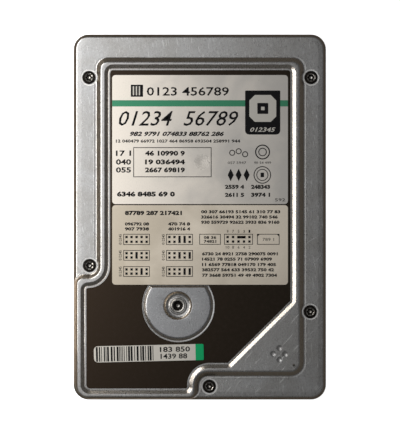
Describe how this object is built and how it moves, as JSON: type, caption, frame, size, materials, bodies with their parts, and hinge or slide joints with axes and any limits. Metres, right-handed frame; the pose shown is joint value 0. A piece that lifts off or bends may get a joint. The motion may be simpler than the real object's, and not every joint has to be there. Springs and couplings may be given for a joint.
{
  "type": "hard disk drive",
  "caption": "Hard disk drive of the 3.5-inch size: cast base, stamped cover with labels, platters on a spindle, swinging head actuator, circuit board and connectors.",
  "frame": {"origin": "middle of the underside, on the plane of the mounting rails' bottom faces", "axes": "+Z out through the labelled cover, -Y towards the connectors, +X towards the power connector's side"},
  "size_m": [0.1016, 0.147, 0.0261],
  "materials": {
    "cast_aluminium": "as-cast satin with fine grain",
    "stamped_cover": "brushed satin sheet with fine scratches",
    "black_rubber": "matte moulded rubber",
    "damping_sheet": "dark brown-black film, slightly glossy",
    "label_white": "off-white printed film",
    "label_beige": "warm beige printed film",
    "black_screw": "black oxide, semi-gloss",
    "filter_fabric": "white felt",
    "bright_steel": "ground and nickel-plated",
    "stator_steel": "stacked laminations",
    "enamelled_copper": "enamelled copper wire",
    "turned_aluminium": "fine turned",
    "plated_magnet": "nickel-plated",
    "platter_surface": "polished thin-film disk",
    "flex_film": "amber polyimide film",
    "connector_black": "moulded black with plated pins",
    "board_green": "green solder mask on glass epoxy",
    "chip_black": "moulded epoxy package",
    "shunt_white": "white moulded plastic"
  },
  "bodies": {
    "base": {"base_casting": "cast_aluminium", "top_cover": "stamped_cover", "circuit_board": "board_green", "controller_chip": "chip_black", "motor_driver_chip": "chip_black", "interface_connector": "connector_black", "jumper_block": "connector_black", "power_connector": "connector_black", "cover_screw_front_left": "black_screw", "cover_screw_front_right": "black_screw", "cover_screw_side_left": "black_screw", "cover_screw_side_right": "black_screw", "cover_screw_rear": "black_screw", "pivot_screw": "black_screw", "spindle_screw": "black_screw", "board_screw_front_left": "black_screw", "board_screw_front_right": "black_screw", "board_screw_side": "black_screw", "damping_sheet": "damping_sheet", "main_label": "label_white", "jumper_label": "label_beige", "serial_label": "label_white", "stator_core": "stator_steel", "stator_winding": "enamelled_copper", "spindle_shaft": "bright_steel", "pivot_shaft": "bright_steel", "lower_yoke": "bright_steel", "upper_yoke": "bright_steel", "lower_magnet": "plated_magnet", "upper_magnet": "plated_magnet", "inner_crash_stop": "black_rubber", "outer_crash_stop": "black_rubber", "flex_cable": "flex_film", "preamp_bracket": "connector_black", "recirculation_filter": "filter_fabric", "breather_filter": "filter_fabric", "cover_gasket": "black_rubber"},
    "spindle_rotor": {"spindle_hub": "turned_aluminium", "rotor_magnet": "plated_magnet", "lower_bearing": "bright_steel", "upper_bearing": "bright_steel", "platter_1": "platter_surface", "platter_2": "platter_surface", "platter_3": "platter_surface", "platter_spacer_1": "turned_aluminium", "platter_spacer_2": "turned_aluminium", "disk_clamp": "bright_steel", "clamp_screw_1": "black_screw", "clamp_screw_2": "black_screw", "clamp_screw_3": "black_screw"},
    "head_actuator": {"head_arm_block": "turned_aluminium", "pivot_bearing": "bright_steel", "voice_coil": "enamelled_copper", "suspension_1_under": "bright_steel", "suspension_1_over": "bright_steel", "suspension_2_under": "bright_steel", "suspension_2_over": "bright_steel", "suspension_3_under": "bright_steel", "suspension_3_over": "bright_steel"},
    "shunt": {"jumper_shunt": "shunt_white"}
  },
  "joints": [
    {"name": "spindle_spin", "type": "hinge", "parent": "base", "child": "spindle_rotor", "pos_m": [0, 0.0218, 0.0157], "axis": [0, 0, 1], "continuous": true},
    {"name": "head_swing", "type": "hinge", "parent": "base", "child": "head_actuator", "pos_m": [-0.0088, -0.0356, 0.0157], "axis": [0, 0, 1], "range_deg": [-29.5, 0]},
    {"name": "jumper_pull", "type": "slide", "parent": "base", "child": "shunt", "axis": [0, -1, 0], "range_m": [0, 0.012]}
  ]
}
